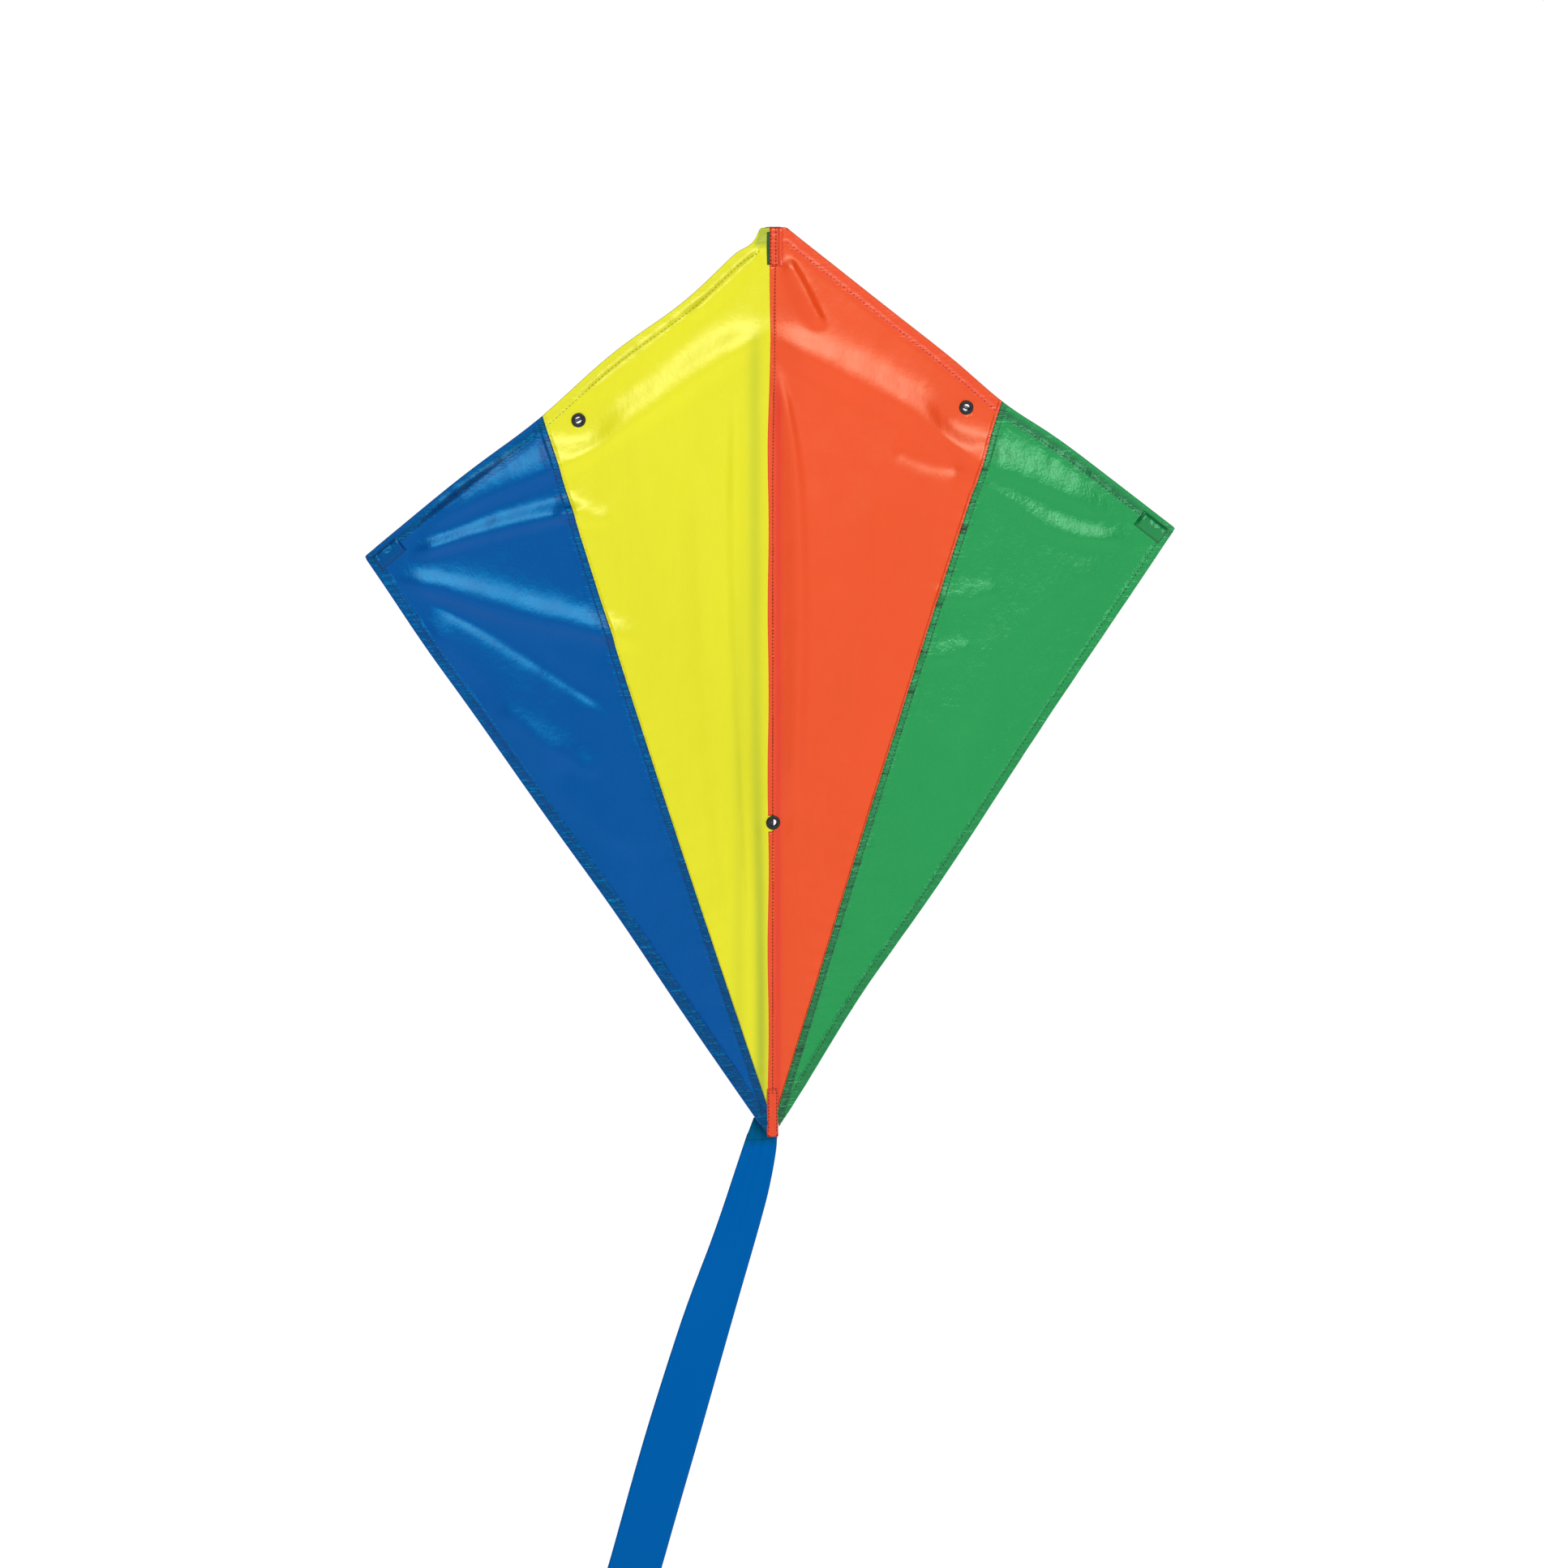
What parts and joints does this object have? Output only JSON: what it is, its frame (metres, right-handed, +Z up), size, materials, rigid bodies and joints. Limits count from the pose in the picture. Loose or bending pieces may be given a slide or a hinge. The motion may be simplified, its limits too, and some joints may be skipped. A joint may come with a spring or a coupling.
{
  "type": "diamond kite",
  "caption": "Diamond kite with a four-colour sail on a straight spine and an arched cross spar, bridle eyelets and a hanging ribbon tail.",
  "frame": {"origin": "centre of the lower bridle eyelet's hole, on the sail's front face", "axes": "+X to the right seen on the face, +Y out of the sail's back, +Z up the spine to the nose"},
  "size_m": [0.762, 0.0145, 1.6872],
  "materials": {
    "cloth_blue": "coated woven nylon, satin",
    "cloth_yellow": "coated woven nylon, satin",
    "cloth_orange": "coated woven nylon, satin",
    "cloth_green": "coated woven nylon, satin",
    "cloth_tail": "matt woven ribbon",
    "thread": "spun sewing thread",
    "rod": "pultruded glass fibre, satin",
    "vinyl": "soft moulded vinyl",
    "eyelet": "glossy moulded plastic"
  },
  "bodies": {
    "root": {"spine": "rod", "cross_spar": "rod", "centre_joiner": "vinyl", "spine_nose_cap": "vinyl", "spine_tail_cap": "vinyl", "centre_strip": "cloth_orange", "nose_patch": "cloth_orange", "tail_patch": "cloth_orange", "nose_pocket": "cloth_orange", "tail_pocket": "cloth_orange", "lower_eyelet": "eyelet", "lower_washer": "eyelet"},
    "left_wing": {"panel_blue": "cloth_blue", "panel_yellow": "cloth_yellow", "left_tip_patch": "cloth_blue", "left_tip_pocket": "cloth_blue", "left_tip_cap": "vinyl", "left_eyelet": "eyelet", "left_washer": "eyelet"},
    "right_wing": {"panel_green": "cloth_green", "panel_orange": "cloth_orange", "right_tip_patch": "cloth_green", "right_tip_pocket": "cloth_green", "right_tip_cap": "vinyl", "right_eyelet": "eyelet", "right_washer": "eyelet"},
    "tail_top": {"tail_head": "cloth_tail"},
    "tail": {"tail_ribbon": "cloth_tail"}
  },
  "joints": [
    {"name": "left_wing_flex", "type": "hinge", "parent": "root", "child": "left_wing", "pos_m": [-0.008, 0.0002, 0.2], "axis": [0, 0, -1], "range_deg": [-10, 25], "stiffness_Nm_per_rad": 0.6, "deforming": ["cross_spar"]},
    {"name": "right_wing_flex", "type": "hinge", "parent": "root", "child": "right_wing", "pos_m": [0.008, 0.0002, 0.2], "axis": [0, 0, 1], "range_deg": [-10, 25], "stiffness_Nm_per_rad": 0.6, "deforming": ["cross_spar"]},
    {"name": "tail_lift", "type": "hinge", "parent": "root", "child": "tail_top", "pos_m": [-0.008, 0.01175, -0.284], "axis": [1, 0, 0], "range_deg": [0, 85]},
    {"name": "tail_swing", "type": "hinge", "parent": "tail_top", "child": "tail", "pos_m": [-0.008, 0.0124, -0.3], "axis": [0, -1, 0], "range_deg": [-45, 75]}
  ]
}
